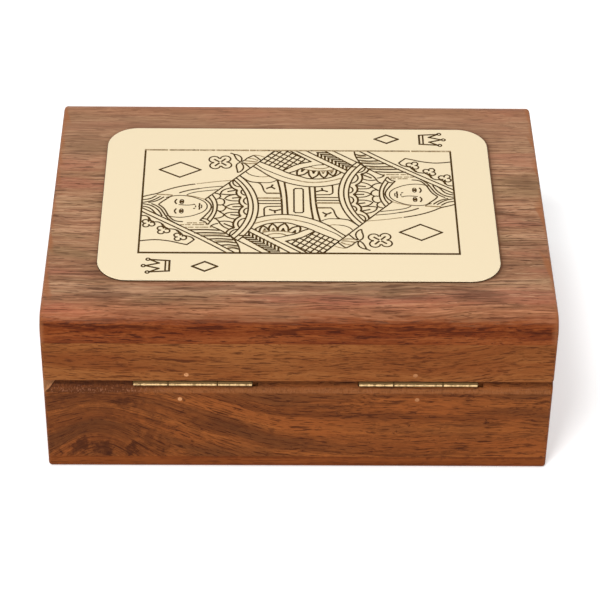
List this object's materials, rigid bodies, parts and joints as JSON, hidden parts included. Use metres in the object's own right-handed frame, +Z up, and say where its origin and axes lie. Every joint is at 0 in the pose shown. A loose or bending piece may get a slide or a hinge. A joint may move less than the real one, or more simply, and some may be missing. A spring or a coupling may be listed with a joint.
{
  "type": "playing card box",
  "caption": "Hinged hardwood box with two card wells, a rounded solid lid, a card-shaped plate let into the lid and brass butt hinges.",
  "frame": {"origin": "centre of the box's footprint, on the surface that it stands on", "axes": "+X along the box's length, +Z up, and -Y towards the hinge side; the lid is closed"},
  "size_m": [0.1524, 0.1144, 0.0583],
  "materials": {
    "top_wood": "oiled rosewood, pinkish brown with fine dark straight grain along its length",
    "rail_wood": "oiled rosewood, ochre brown with short dark pores",
    "body_wood": "oiled rosewood, brown to orange brown, darker and figured at one end",
    "base_wood": "oiled rosewood, even red brown",
    "inner_wood": "plain rosewood, hardly finished",
    "plate": "smooth cream sheet with dark brown line work",
    "plate_ink": "dark brown engraved line",
    "hinge_brass": "bright drawn brass with tarnish in its joints",
    "nail_brass": "coppery brass nail heads",
    "felt": "short maroon felt"
  },
  "bodies": {
    "box_body": {"base_board": "base_wood", "rear_panel": "body_wood", "front_panel": "body_wood", "left_end_panel": "body_wood", "right_end_panel": "body_wood", "well_divider": "inner_wood", "left_well_lining": "felt", "right_well_lining": "felt", "left_hinge_body_leaf": "hinge_brass", "right_hinge_body_leaf": "hinge_brass", "left_hinge_pin": "hinge_brass", "right_hinge_pin": "hinge_brass", "body_hinge_nails": "nail_brass"},
    "lid": {"lid_top_board": "top_wood", "lid_rear_rail": "rail_wood", "lid_front_rail": "rail_wood", "lid_left_rail": "rail_wood", "lid_right_rail": "rail_wood", "card_plate": "plate", "left_hinge_lid_leaf": "hinge_brass", "right_hinge_lid_leaf": "hinge_brass", "lid_hinge_nails": "nail_brass"}
  },
  "joints": [
    {"name": "lid_hinge", "type": "hinge", "parent": "box_body", "child": "lid", "pos_m": [0, -0.05605, 0.0331], "axis": [1, 0, 0], "range_deg": [0, 120]}
  ]
}
